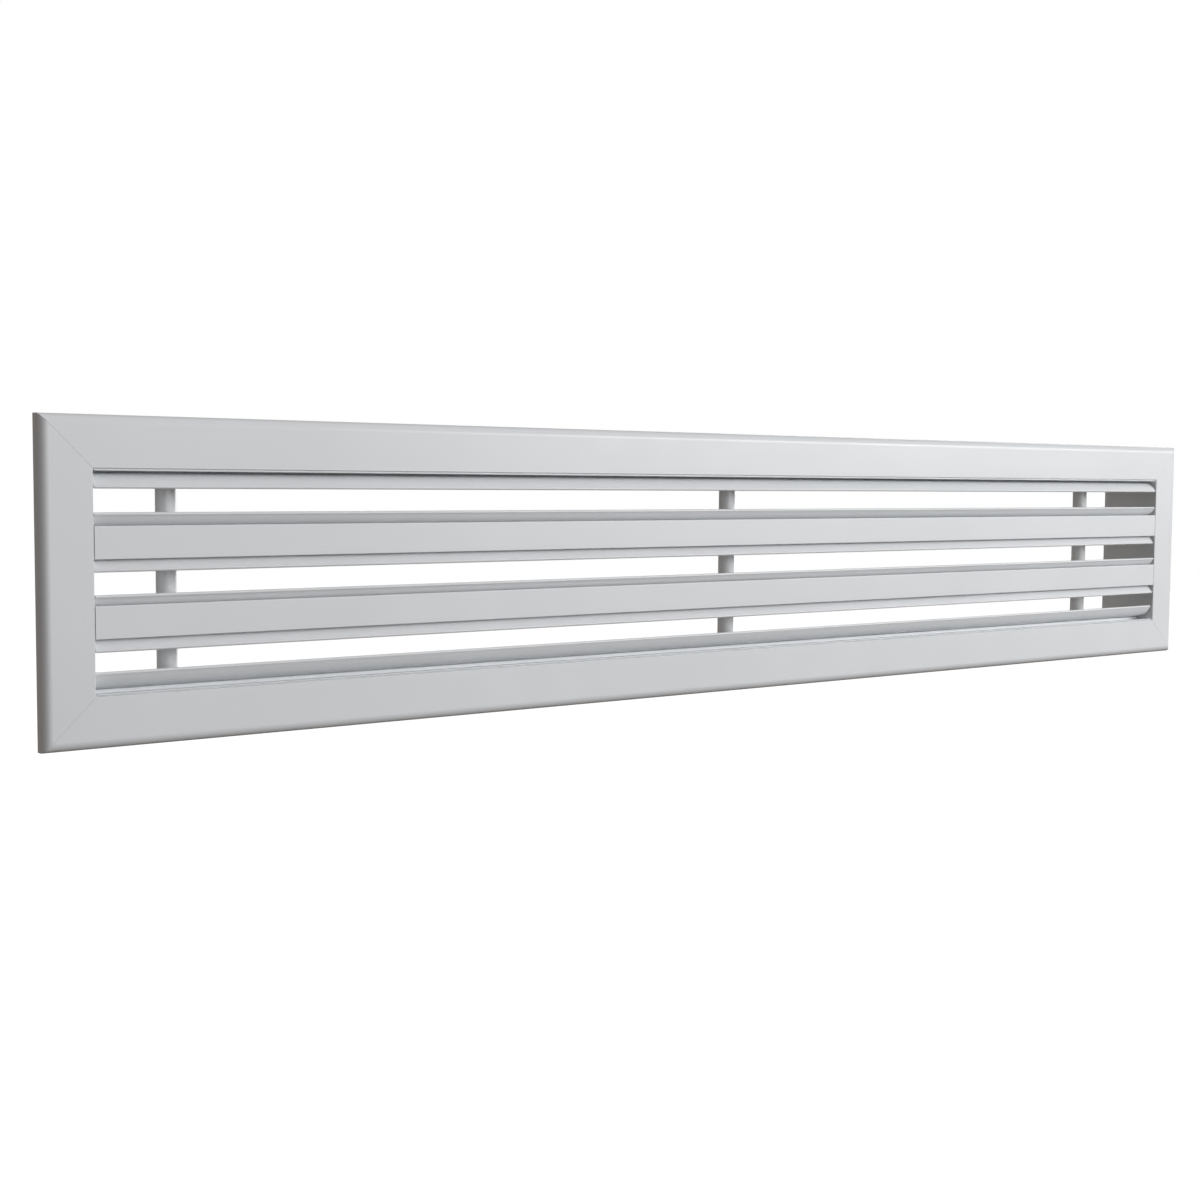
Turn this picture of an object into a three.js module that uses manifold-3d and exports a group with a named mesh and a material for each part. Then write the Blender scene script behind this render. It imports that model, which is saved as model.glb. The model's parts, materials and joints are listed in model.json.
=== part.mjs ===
// A three-slot linear air grille: a mitred frame, two slot bars, and in each slot a pair of curved
// deflector blades that turn in grooves.  Tie rods inside round spacer tubes hold it together.
//
// Millimetres.  X runs along the grille, Z is up, and the face looks towards -Y.
// The origin is the centre of the wall plane: the rear edge of the flange lip lies at y = 0.
import * as THREE from 'three';
import { mergeVertices } from 'three/addons/utils/BufferGeometryUtils.js';
import Module from 'manifold-3d';

const wasm = await Module();
wasm.setup();

// ---- driving dimensions ----
const length = 840;              // over the flange
const height = 150;              // over the flange
const slotPitch = 36.5;          // centre of one slot to the centre of the next
const wallOffset = 14.6;         // slot centre to the neck wall or bar web beside it
const lipDepth = 8;              // front face to the rear edge of the flange lip
const neckDepth = 44;            // front face to the rear edge of the neck
const sheet = 1.5;               // wall thickness of the frame extrusion
const outerRadius = 4.5;         // rounding round the outside of the flange
const gap = 0.3;                 // clearance between pieces that touch
const mitreGap = 0.15;           // half of the hairline along a mitre

const barFace = 15;              // height of a slot bar's face
const barCentre = 17.9;          // height of a slot bar's face above the middle of the grille
const barFaceSheet = 1.6;
const barDepth = 40;             // front face to the back of the slot bar
const barSheet = 1.2;

const bladeSheet = 1.2;
const plateOffset = 12.3;        // slot centre to the outside of a blade's straight part
const curveDepth = 9.9;          // front face to where the straight part meets the curve
const bladeRadius = 9.3;         // outer radius of the blade's curve
const bladeSweep = 72;           // degrees that the curve turns through, down to the tip
const tipBead = 0.85;            // radius of the round bead along the tip
const bladeEndGap = 0.5;         // blade end to the side wall of the neck

const lipGroove = 0.5;           // width of the fine groove between the flange and its inner lip
const lipGrooveDepth = 1.4;
const lipSheet = 0.6;            // thickness of the lip
const lipSetback = 0.25;         // front face to the front edge of the lip
const lipEnd = 3.5;              // front face to the rear of the lip
const bossHeight = 0.9;          // thickening of the neck wall behind a blade's groove

const bossHalf = 3;              // half of the depth of that thickening

const keySheet = 1.6;
const keyArm = 34;               // outer corner of the frame to the end of a key's arm
const keyRibOuter = 7;           // outer edge of the frame to the outer side of a key
const keyRibInner = 17;          // outer edge of the frame to the inner side of a key

const pivotOffset = 14.4;        // slot centre to the axis that a blade turns on
const pivotDepth = 15;           // front face to that axis
const pivotBead = 1.0;           // radius of the round edge in the groove
const stem = 0.8;                // thickness of the web between the blade and its round edge
const bladeClosed = {            // how far each blade is turned towards its slot, in degrees
  upper_top: -2.9,
  upper_bottom: -0.9,
  middle_top: 1.4,
  middle_bottom: -2.9,
  lower_top: -0.6,
  lower_bottom: 4.7,
};

const tubeRadius = 4.9;
const tubeDepth = 31.5;          // front face to the axis of the tubes and rods
const columnSpacing = 349;       // centre of the grille to each outer column of tubes
const middleColumn = 7.5;        // the middle column stands this far to the right of the centre
const rodRadius = 2;
const rodHole = 2.4;

const screwRadius = 1.6;
const screwHole = 1.9;
const screwDepth = 11.5;         // front face to the axis of the bar screws
const screwShank = 16;
const clipX = 240;               // middle of the grille to a spring clip
const clipDepth = 33;            // front face to the rivet of a clip
const clipWidth = 18;
const clipSheet = 0.8;
const rivetRadius = 1.6;
const rivetHole = 1.9;

// ---- worked out from them ----
const front = -lipDepth;
const openingHalf = slotPitch + wallOffset;
const flange = height / 2 - openingHalf;
const neckHalfLength = length / 2 - flange;
const neckOutside = openingHalf + sheet;
const columns = { left: -columnSpacing, middle: middleColumn, right: columnSpacing };
const slots = { upper: slotPitch, middle: 0, lower: -slotPitch };
const ends = { left: -1, right: 1 };
const edges = { top: 1, bottom: -1 };

// ---- materials ----
const finish = (name, color, roughness, metalness) =>
  new THREE.MeshStandardMaterial({ name, color, roughness, metalness });
const whitePaint = finish('white_paint', 0xdedfe0, 0.45, 0);
const zincSteel = finish('zinc_steel', 0xb4b8bb, 0.35, 1);
const springSteel = finish('spring_steel', 0x8f9499, 0.4, 1);
const castKey = finish('cast_key', 0xa4a7aa, 0.55, 1);

// ---- helpers ----
const part = new THREE.Group();

function add(name, geometry, material) {
  const mesh = new THREE.Mesh(geometry, material);
  mesh.name = name;
  part.add(mesh);
  return mesh;
}

// Points along an arc, angles in degrees.
function arc(x, y, radius, from, to, steps) {
  const points = [];
  for (let i = 0; i <= steps; i += 1) {
    const angle = THREE.MathUtils.degToRad(from + (to - from) * i / steps);
    points.push([x + radius * Math.cos(angle), y + radius * Math.sin(angle)]);
  }
  return points;
}

// A closed outline, run anticlockwise, with holes run clockwise.
function outline(points, holes = []) {
  const turned = (list, clockwise) => {
    const path = list.map(([x, y]) => new THREE.Vector2(x, y));
    return THREE.ShapeUtils.isClockWise(path) === clockwise ? path : path.reverse();
  };
  const shape = new THREE.Shape(turned(points, false));
  shape.holes = holes.map((hole) => new THREE.Path(turned(hole, true)));
  return shape;
}

// Extrudes a section of (depth, height) points along X, centred on x = 0.
function alongX(shape, size) {
  const geometry = new THREE.ExtrudeGeometry(shape, { depth: size, bevelEnabled: false });
  geometry.translate(0, 0, -size / 2);
  const axes = new THREE.Matrix4();
  axes.makeBasis(new THREE.Vector3(0, 1, 0), new THREE.Vector3(0, 0, 1), new THREE.Vector3(1, 0, 0));
  return geometry.applyMatrix4(axes);
}

function toSolid(geometry) {
  const bare = geometry.clone();
  bare.deleteAttribute('normal');
  bare.deleteAttribute('uv');
  const merged = mergeVertices(bare, 1e-4);
  return new wasm.Manifold(new wasm.Mesh({
    numProp: 3,
    vertProperties: new Float32Array(merged.attributes.position.array),
    triVerts: new Uint32Array(merged.index.array),
  }));
}

function toGeometry(solid) {
  const mesh = solid.getMesh();
  const geometry = new THREE.BufferGeometry();
  geometry.setAttribute('position', new THREE.BufferAttribute(mesh.vertProperties, 3));
  geometry.setIndex(new THREE.BufferAttribute(mesh.triVerts, 1));
  geometry.computeVertexNormals();
  return geometry;
}

function drill(geometry, drills) {
  let solid = toSolid(geometry);
  for (const bit of drills) solid = solid.subtract(toSolid(bit));
  return toGeometry(solid);
}

// A drill along Z or X for cutting round holes.
function drillZ(radius, x, y, z, size) {
  const bit = new THREE.CylinderGeometry(radius, radius, size, 16);
  return bit.rotateX(Math.PI / 2).translate(x, y, z);
}

function drillX(radius, x, y, z, size) {
  const bit = new THREE.CylinderGeometry(radius, radius, size, 16);
  return bit.rotateZ(Math.PI / 2).translate(x, y, z);
}

// ---- the groove that a blade turns in ----
// Points from the front rib to the rear rib, as (depth from the front face, distance from the slot
// centre).  The wall surface is at wallOffset, and the front rib hooks round the blade's round edge.
function groovePoints() {
  const half = pivotBead + 0.45;
  const rib = 1.0;
  const pocket = pivotOffset + pivotBead + 0.35 - wallOffset;
  const hook = 0.7;
  const hookTop = pivotOffset - 1.05;
  const hookEnd = pivotOffset - 1.5;
  const rearEnd = pivotOffset - 0.95;
  return [
    [pivotDepth - half - rib, wallOffset],
    [pivotDepth - half - rib, hookEnd],
    [pivotDepth - half + hook, hookEnd],
    [pivotDepth - half + hook, hookTop],
    [pivotDepth - half, hookTop],
    [pivotDepth - half, wallOffset + pocket],
    [pivotDepth + half, wallOffset + pocket],
    [pivotDepth + half, rearEnd],
    [pivotDepth + half + rib, rearEnd],
    [pivotDepth + half + rib, wallOffset],
  ];
}

// ---- frame ----
// A rib behind the flange that hooks over the edge of a corner key, from the neck side outwards.
function keyRib(foot, hooksOutwards) {
  const ribSheet = 1;
  const ribHook = 0.8;
  const reach = keySheet + gap * 2 + sheet;
  const tip = reach + ribHook;
  const outwards = hooksOutwards ? 1 : -1;
  const back = foot + outwards * ribSheet;
  const hook = foot - outwards * ribHook;
  const points = [[sheet, back], [tip, back], [tip, hook], [reach, hook], [reach, foot], [sheet, foot]];
  return hooksOutwards ? points : points.reverse();
}

// The lip that runs along the inner edge of the flange, set off from it by a fine groove.
function lipPoints() {
  const bevel = 0.1;
  const outer = flange + lipGroove;
  const inner = outer + lipSheet;
  return [
    [lipGrooveDepth, flange], [lipGrooveDepth, outer], [lipSetback + bevel, outer],
    [lipSetback, outer + bevel], [lipSetback, inner - bevel], [lipSetback + bevel, inner],
    [lipEnd, inner], [lipEnd, flange],
  ];
}

// Section of (depth from the front face, distance in from the outer edge).
function frameSection(withGroove) {
  const neckBack = flange - sheet;
  const chamfer = 0.3;
  const points = [[lipDepth, 0]];
  points.push(...arc(outerRadius, outerRadius, outerRadius, 270, 180, 6));
  points.push([0, flange - chamfer], [chamfer, flange]);
  if (withGroove) {
    points.push(...lipPoints());
    for (const [depth, offset] of groovePoints()) points.push([depth, flange + wallOffset - offset]);
  }
  points.push([neckDepth, flange], [neckDepth, neckBack]);
  if (withGroove) {
    const from = pivotDepth - bossHalf;
    const to = pivotDepth + bossHalf;
    points.push([to + bossHeight, neckBack], [to, neckBack - bossHeight]);
    points.push([from, neckBack - bossHeight], [from - bossHeight, neckBack]);
  }
  points.push([sheet, neckBack]);
  points.push(...keyRib(keyRibInner, true), ...keyRib(keyRibOuter, false));
  points.push(...arc(outerRadius, outerRadius, outerRadius - sheet, 180, 270, 5));
  points.push([lipDepth, sheet]);
  return points;
}

// One member lying along X with its outer edge on z = 0, and its ends cut at 45 degrees.
function frameMember(size, withGroove) {
  const geometry = alongX(outline(frameSection(withGroove).map(([depth, inward]) => [depth, -inward])), 2);
  const position = geometry.attributes.position;
  for (let i = 0; i < position.count; i += 1) {
    const side = Math.sign(position.getX(i));
    position.setX(i, side * (size / 2 + position.getZ(i) - mitreGap));
  }
  return geometry.translate(0, front, 0);
}

const neckZ = -flange + sheet / 2;
const through = sheet * 2.5;     // length of a drill that goes through the neck wall
for (const [edge, side] of Object.entries(edges)) {
  const drills = [];
  for (const x of Object.values(columns)) {
    drills.push(drillZ(rodHole, side * x, front + tubeDepth, neckZ, through));
  }
  for (const x of [-clipX, clipX]) drills.push(drillZ(rivetHole, x, front + clipDepth, neckZ, through));
  const member = add(`frame_${edge}`, drill(frameMember(length, true), drills), whitePaint);
  member.rotation.y = side > 0 ? 0 : Math.PI;
  member.position.z = side * height / 2;
}

for (const [end, side] of Object.entries(ends)) {
  const drills = [-slotPitch / 2, slotPitch / 2].map((x) =>
    drillZ(screwHole, x, front + screwDepth, neckZ, through));
  const member = add(`frame_${end}`, drill(frameMember(height, false), drills), whitePaint);
  member.rotation.y = side * Math.PI / 2;
  member.position.x = side * length / 2;
}

// ---- corner keys: flat L plates held by the ribs behind the flange ----
const keyInner = keyRibInner - gap;
const keyOuter = keyRibOuter + gap;
for (const [edge, up] of Object.entries(edges)) {
  for (const [end, along] of Object.entries(ends)) {
    const shape = outline([
      [-keyOuter, -keyOuter], [-keyOuter, -keyArm], [-keyInner, -keyArm],
      [-keyInner, -keyInner], [-keyArm, -keyInner], [-keyArm, -keyOuter],
    ]);
    const geometry = new THREE.ExtrudeGeometry(shape, { depth: keySheet, bevelEnabled: false });
    geometry.rotateX(Math.PI / 2).translate(0, front + sheet + gap + keySheet, 0);
    const key = add(`corner_key_${edge}_${end}`, geometry, castKey);
    const turns = { '1,1': 0, '1,-1': -Math.PI / 2, '-1,-1': Math.PI, '-1,1': Math.PI / 2 };
    key.rotation.y = turns[`${up},${along}`];
    key.position.set(along * length / 2, 0, up * height / 2);
  }
}

// ---- slot bars: a hollow web with a flat face, and a groove on each side ----
function barSection(side) {
  const chamfer = 0.3;
  const low = barCentre - barFace / 2;
  const high = barCentre + barFace / 2;
  const far = slotPitch - wallOffset;
  const points = [[0, low + chamfer], [chamfer, low], [barFaceSheet, low], [barFaceSheet, wallOffset]];
  points.push(...groovePoints(), [barDepth, wallOffset], [barDepth, far]);
  for (const [depth, offset] of groovePoints().reverse()) points.push([depth, slotPitch - offset]);
  points.push([barFaceSheet, far], [barFaceSheet, high], [chamfer, high], [0, high - chamfer]);
  return outline(points.map(([depth, z]) => [depth, side * z]));
}

const barLength = 2 * (neckHalfLength - gap);
const portWall = 3.2;            // solid part of the web round the screw port and the grooves
const overrun = 4;               // how far the cutting shapes run past the ends of a bar
for (const [level, side] of Object.entries({ upper: 1, lower: -1 })) {
  const webZ = side * slotPitch / 2;
  const hollow = slotPitch - 2 * (wallOffset + barSheet);
  const chamber = (from, to) =>
    new THREE.BoxGeometry(barLength + overrun, to - from, hollow).translate(0, (from + to) / 2, webZ);
  const bits = Object.values(columns).map((x) => drillZ(rodHole, x, tubeDepth, webZ, slotPitch / 3));
  bits.push(chamber(barFaceSheet, screwDepth - portWall));
  bits.push(chamber(pivotDepth + portWall, barDepth - barSheet));
  bits.push(drillX(screwHole, 0, screwDepth, webZ, barLength + overrun));
  const bar = add(`slot_bar_${level}`, drill(alongX(barSection(side), barLength), bits), whitePaint);
  bar.position.y = front;
}

// ---- deflector blades: a curved strip, a round bead at its tip, a round edge in the groove ----
// Section of (depth, height) points from the axis that the blade turns on; side is +1 for the
// blade above a slot and -1 for the blade below it.
function bladeSection(side) {
  const centreOffset = plateOffset - bladeRadius;
  const sweepEnd = 90 + bladeSweep;
  const middle = bladeRadius - bladeSheet / 2;
  const [tip] = arc(curveDepth, centreOffset, middle, sweepEnd, sweepEnd, 1);
  const tipStart = THREE.MathUtils.radToDeg(Math.asin(bladeSheet / 2 / tipBead));
  const edgeStart = THREE.MathUtils.radToDeg(Math.asin(stem / 2 / pivotBead));
  const points = arc(curveDepth, centreOffset, bladeRadius, sweepEnd - 8, 90, 9);
  points.push([pivotDepth - stem / 2, plateOffset]);
  points.push(...arc(pivotDepth, pivotOffset, pivotBead, 270 - edgeStart, edgeStart - 90, 9));
  points.push([pivotDepth + stem / 2, plateOffset - bladeSheet]);
  points.push(...arc(curveDepth, centreOffset, bladeRadius - bladeSheet, 90, sweepEnd - 8, 9));
  const towards = sweepEnd + 90;
  points.push(...arc(tip[0], tip[1], tipBead, towards + 180 - tipStart, towards - 180 + tipStart, 10));
  return outline(points.map(([depth, offset]) => [depth - pivotDepth, side * (offset - pivotOffset)]));
}

const bladeLength = 2 * (neckHalfLength - bladeEndGap);
for (const [slot, z] of Object.entries(slots)) {
  for (const [edge, side] of Object.entries(edges)) {
    const blade = add(`blade_${slot}_slot_${edge}`, alongX(bladeSection(side), bladeLength), whitePaint);
    blade.position.set(0, front + pivotDepth, z + side * pivotOffset);
    blade.rotation.x = side * THREE.MathUtils.degToRad(bladeClosed[`${slot}_${edge}`]);
  }
}

// ---- tie rods, spacer tubes, washers and nuts ----
function ring(inner, outer, size, sides) {
  const half = size / 2;
  const profile = [[inner, -half], [outer, -half], [outer, half], [inner, half], [inner, -half]];
  const geometry = new THREE.LatheGeometry(profile.map(([x, y]) => new THREE.Vector2(x, y)), sides);
  return geometry.rotateX(Math.PI / 2);
}

function hexNut(acrossFlats, bore, size) {
  const corners = arc(0, 0, acrossFlats / Math.sqrt(3), 0, 300, 5);
  const shape = outline(corners, [arc(0, 0, bore, 0, 337.5, 15)]);
  return new THREE.ExtrudeGeometry(shape, { depth: size, bevelEnabled: false }).translate(0, 0, -size / 2);
}

const washerRadius = 4.5;
const washerSheet = 0.8;
const nutAcrossFlats = 7;
const nutHeight = 3.2;
const tubeBore = 0.6;            // clearance between a rod and the tube round it
const rodEnd = 2;                // how far a rod stands out of its nut
const washerZ = neckOutside + gap + washerSheet / 2;
const nutZ = washerZ + washerSheet / 2 + gap + nutHeight / 2;
const rodHalf = nutZ + nutHeight / 2 + rodEnd;
const columnDepth = front + tubeDepth;
for (const [column, x] of Object.entries(columns)) {
  const rod = new THREE.CylinderGeometry(rodRadius, rodRadius, 2 * rodHalf, 16).rotateX(Math.PI / 2);
  add(`tie_rod_${column}`, rod, zincSteel).position.set(x, columnDepth, 0);
  for (const [slot, z] of Object.entries(slots)) {
    const tube = ring(rodRadius + tubeBore, tubeRadius, 2 * (wallOffset - gap), 24);
    add(`spacer_tube_${column}_${slot}`, tube, whitePaint).position.set(x, columnDepth, z);
  }
  for (const [edge, side] of Object.entries(edges)) {
    const washer = ring(rodRadius + gap, washerRadius, washerSheet, 20);
    add(`rod_washer_${column}_${edge}`, washer, zincSteel).position.set(x, columnDepth, side * washerZ);
    const nut = hexNut(nutAcrossFlats, rodRadius + gap, nutHeight);
    add(`rod_nut_${column}_${edge}`, nut, zincSteel).position.set(x, columnDepth, side * nutZ);
  }
}

// ---- bar screws: from outside the end of the neck into the port of a slot bar ----
function panScrew(shank) {
  const headHeight = 2;
  const headRadius = 3.2;
  const profile = [
    [0, -shank], [screwRadius * 0.6, -shank], [screwRadius, -shank + 1.2], [screwRadius, 0],
    [headRadius, 0], [headRadius, headHeight * 0.55], [headRadius * 0.7, headHeight], [0, headHeight],
  ];
  return new THREE.LatheGeometry(profile.map(([x, y]) => new THREE.Vector2(x, y)), 16);
}

for (const [end, along] of Object.entries(ends)) {
  for (const [level, side] of Object.entries({ upper: 1, lower: -1 })) {
    const screw = add(`bar_screw_${level}_${end}`, panScrew(screwShank), zincSteel);
    screw.rotation.z = -along * Math.PI / 2;
    const headX = neckHalfLength + sheet + gap;
    screw.position.set(along * headX, front + screwDepth, side * slotPitch / 2);
  }
}

// ---- spring clips, riveted to the outside of the neck, that hold the grille in a wall opening ----
function clipShape(side) {
  const foot = clipDepth - 7;
  const fold = clipDepth + 8;
  const points = [
    [foot, gap], [fold, gap], [fold + 1.2, gap + 1.1], [fold + 0.9, gap + 1.6], [foot - 2, 9.5],
    [foot - 6, 8.2], [foot - 5.8, 7.4], [foot - 2, 8.6], [fold, gap + 1.2], [fold - 0.3, gap + clipSheet],
    [foot, gap + clipSheet],
  ];
  return outline(points.map(([depth, out]) => [depth, side * out]));
}

function rivet() {
  const top = gap + clipSheet + gap;
  const tail = -sheet - gap;
  const profile = [
    [0, tail - 0.8], [2.3, tail - 0.8], [2.6, tail], [rivetRadius, tail],
    [rivetRadius, top], [2.9, top], [2.4, top + 0.7], [0, top + 1],
  ];
  const geometry = new THREE.LatheGeometry(profile.map(([x, y]) => new THREE.Vector2(x, y)), 16);
  return geometry.rotateX(Math.PI / 2);
}

for (const [edge, side] of Object.entries(edges)) {
  for (const [end, along] of Object.entries(ends)) {
    const bit = drillZ(rivetHole, 0, clipDepth, side * (gap + clipSheet / 2), clipSheet + 0.4);
    const strip = drill(alongX(clipShape(side), clipWidth), [bit]);
    const clip = add(`spring_clip_${edge}_${end}`, strip, springSteel);
    clip.position.set(along * clipX, front, side * neckOutside);
    const pin = add(`clip_rivet_${edge}_${end}`, rivet(), zincSteel);
    pin.rotation.x = side > 0 ? 0 : Math.PI;
    pin.position.set(along * clipX, front + clipDepth, side * neckOutside);
  }
}

export default part;
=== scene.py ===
"""A three-slot linear air grille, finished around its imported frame.

Lengths in the sections are millimetres, in the frame's own axes: X along the grille, Y into the wall, Z up.
Every visible metal piece is built again here with rounded edges, and stands for its CAD node.
"""
import json
import math

import bmesh
import bpy
from mathutils import Matrix, Vector


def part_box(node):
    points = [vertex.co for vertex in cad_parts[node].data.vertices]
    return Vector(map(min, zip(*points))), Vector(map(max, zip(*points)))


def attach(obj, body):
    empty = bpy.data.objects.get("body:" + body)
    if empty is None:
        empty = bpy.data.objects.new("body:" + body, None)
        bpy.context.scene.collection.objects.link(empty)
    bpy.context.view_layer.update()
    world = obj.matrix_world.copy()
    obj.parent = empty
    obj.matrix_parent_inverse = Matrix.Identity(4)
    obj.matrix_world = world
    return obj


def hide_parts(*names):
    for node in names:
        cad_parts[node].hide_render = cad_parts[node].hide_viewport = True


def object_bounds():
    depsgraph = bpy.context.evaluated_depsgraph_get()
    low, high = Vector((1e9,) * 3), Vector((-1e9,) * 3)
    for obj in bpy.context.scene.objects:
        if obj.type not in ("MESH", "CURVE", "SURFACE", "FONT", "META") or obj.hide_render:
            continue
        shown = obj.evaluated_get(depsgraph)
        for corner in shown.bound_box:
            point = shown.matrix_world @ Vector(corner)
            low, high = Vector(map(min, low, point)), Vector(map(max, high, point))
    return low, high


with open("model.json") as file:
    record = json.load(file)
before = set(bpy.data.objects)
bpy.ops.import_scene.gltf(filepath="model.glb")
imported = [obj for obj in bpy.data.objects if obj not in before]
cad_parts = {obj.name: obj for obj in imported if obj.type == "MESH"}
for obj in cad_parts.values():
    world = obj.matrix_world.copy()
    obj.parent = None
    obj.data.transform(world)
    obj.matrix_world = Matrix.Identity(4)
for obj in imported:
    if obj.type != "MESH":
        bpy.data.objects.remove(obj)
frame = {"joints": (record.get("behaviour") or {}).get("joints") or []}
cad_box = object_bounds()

MM = 0.001

# ---- sizes of the sections, in millimetres, as in the CAD source ----
LIP_DEPTH = 8.0
SHEET = 1.5
OUTER_RADIUS = 4.5
INNER_RADIUS = 0.3
WALL_OFFSET = 14.6
SLOT_PITCH = 36.5
LIP_GROOVE = 0.5
LIP_GROOVE_DEPTH = 1.4
LIP_SHEET = 0.6
LIP_SETBACK = 0.25
LIP_END = 3.5
BOSS_HALF = 3.0
BOSS_HEIGHT = 0.9
KEY_SHEET = 1.6
KEY_RIB_OUTER = 7.0
KEY_RIB_INNER = 17.0
GAP = 0.3
MITRE_GAP = 0.03

BAR_FACE_SHEET = 1.6
BAR_SHEET = 1.2
SCREW_DEPTH = 11.5
SCREW_HOLE = 1.9

BLADE_SHEET = 1.2
PLATE_OFFSET = 12.3
CURVE_DEPTH = 9.9
BLADE_RADIUS = 9.3
BLADE_SWEEP = 72.0
TIP_BEAD = 0.85
PIVOT_DEPTH = 15.0
PIVOT_OFFSET = 14.4
PIVOT_BEAD = 1.0
STEM = 0.8
OPEN_LIMIT = -6.0          # degrees at the open end of a blade's travel, from the drawn section

ROD_RADIUS = 2.0
ROD_HOLE = 2.4

# ---- sizes of the smaller pieces and cuts ----
GROOVE_SIDE_GAP = 0.45     # a blade's edge to the two sides of its groove
GROOVE_FLOOR_GAP = 0.35    # a blade's edge to the floor of its groove
GROOVE_RIB = 1.0
GROOVE_HOOK = 0.7
BAR_CORNER = 0.32
SCREW_WALL = 3.2           # solid part of a bar's web round the screw port and the grooves
SCREW_RADIUS = 1.6
SCREW_HEAD = 2.0
SCREW_HEAD_RADIUS = 3.2
SCREW_CORE = 0.3           # depth of the screw's thread
NECK_DRILL = 3.5           # length of a tool that goes through the neck wall
BAR_DRILL = 12.0           # length of a tool that goes through a bar's web
CLIP_SHEET = 0.8
CLIP_CORNER = 1.6
RIVET_RADIUS = 1.6
RIVET_TAIL = 0.8
RIVET_DOME = 0.8
STAKE_RADIUS = 1.3
STAKE_DEPTH = 1.2

# ---- places, from the frame ----
LOW, HIGH = (Vector(corner) / MM for corner in cad_box)
FRONT = LOW.y
NECK_BACK = HIGH.y
HALF_LENGTH = HIGH.x
HALF_HEIGHT = HIGH.z
OPENING_HALF = SLOT_PITCH + WALL_OFFSET
FLANGE = HALF_HEIGHT - OPENING_HALF
NECK_DEPTH = NECK_BACK - FRONT
NECK_OUTSIDE = OPENING_HALF + SHEET
SLOTS = {"upper": SLOT_PITCH, "middle": 0.0, "lower": -SLOT_PITCH}
EDGES = {"top": 1, "bottom": -1}
ENDS = {"left": -1, "right": 1}
COLUMNS = ("left", "middle", "right")
SCENE = bpy.context.scene


def node_centre(node):
    low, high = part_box(node)
    return (low + high) / 2 / MM


def node_size(node):
    low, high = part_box(node)
    return (high - low) / MM


# ---- materials ----
class Nodes:
    """A short way to write a material's nodes."""

    def __init__(self, name):
        self.material = bpy.data.materials.new(name)
        self.material.use_nodes = True
        self.tree = self.material.node_tree
        self.shader = self.tree.nodes["Principled BSDF"]
        self.place = self.add("ShaderNodeTexCoord").outputs["Object"]

    def add(self, kind, **settings):
        node = self.tree.nodes.new(kind)
        for key, value in settings.items():
            setattr(node, key, value)
        return node

    def link(self, source, target):
        self.tree.links.new(source, target)

    def stretched(self, x, y, z):
        """The object's own coordinates, scaled along each axis."""
        mapping = self.add("ShaderNodeMapping")
        mapping.inputs["Scale"].default_value = (x, y, z)
        self.link(self.place, mapping.inputs["Vector"])
        return mapping.outputs["Vector"]

    def noise(self, scale, detail=2.0, roughness=0.5, vector=None):
        node = self.add("ShaderNodeTexNoise")
        node.inputs["Scale"].default_value = scale
        node.inputs["Detail"].default_value = detail
        node.inputs["Roughness"].default_value = roughness
        self.link(vector or self.place, node.inputs["Vector"])
        return node.outputs["Fac"]

    def span(self, value, low, high, from_low=0.3, from_high=0.7):
        """value, stretched to run from low to high."""
        node = self.add("ShaderNodeMapRange")
        node.inputs["From Min"].default_value = from_low
        node.inputs["From Max"].default_value = from_high
        node.inputs["To Min"].default_value = low
        node.inputs["To Max"].default_value = high
        self.link(value, node.inputs["Value"])
        return node.outputs["Result"]

    def blend(self, factor, first, second):
        """A colour between two others."""
        node = self.add("ShaderNodeMix", data_type="RGBA")
        self.link(factor, node.inputs["Factor"])
        for socket, colour in zip((node.inputs[6], node.inputs[7]), (first, second)):
            if isinstance(colour, tuple):
                socket.default_value = (*colour, 1)
            else:
                self.link(colour, socket)
        return node.outputs[2]

    def bump(self, height, distance, strength=1.0, under=None):
        node = self.add("ShaderNodeBump")
        node.inputs["Strength"].default_value = strength
        node.inputs["Distance"].default_value = distance
        self.link(height, node.inputs["Height"])
        if under:
            self.link(under, node.inputs["Normal"])
        return node.outputs["Normal"]

    def finish(self, colour, roughness, normal, metallic=0.0, **fixed):
        self.link(colour, self.shader.inputs["Base Color"])
        self.link(roughness, self.shader.inputs["Roughness"])
        self.link(normal, self.shader.inputs["Normal"])
        self.shader.inputs["Metallic"].default_value = metallic
        for socket, value in fixed.items():
            self.shader.inputs[socket.replace("_", " ")].default_value = value
        return self.material


def powder_coat(name, light, shade, peel=1.0, smooth=0.31, rough=0.39):
    """White powder coat: fine orange peel, a slight cloudiness and a few specks.

    light and shade are the two colours it drifts between, smooth and rough its least and greatest roughness.
    """
    nodes = Nodes(name)
    cloud = nodes.span(nodes.noise(9.0, 3.0), 0.0, 1.0)
    colour = nodes.blend(cloud, light, shade)
    speck = nodes.span(nodes.noise(2400.0, 1.0), 0.0, 1.0, 0.74, 0.80)
    colour = nodes.blend(speck, colour, tuple(0.86 * part for part in shade))
    roughness = nodes.span(nodes.noise(40.0, 3.0), smooth, rough)
    coarse = nodes.bump(nodes.noise(420.0, 2.0), 0.00002 * peel, 0.5)
    fine = nodes.bump(nodes.noise(1500.0, 2.0), 0.00001 * peel, 0.4, under=coarse)
    return nodes.finish(colour, roughness, fine, IOR=1.5)


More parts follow.
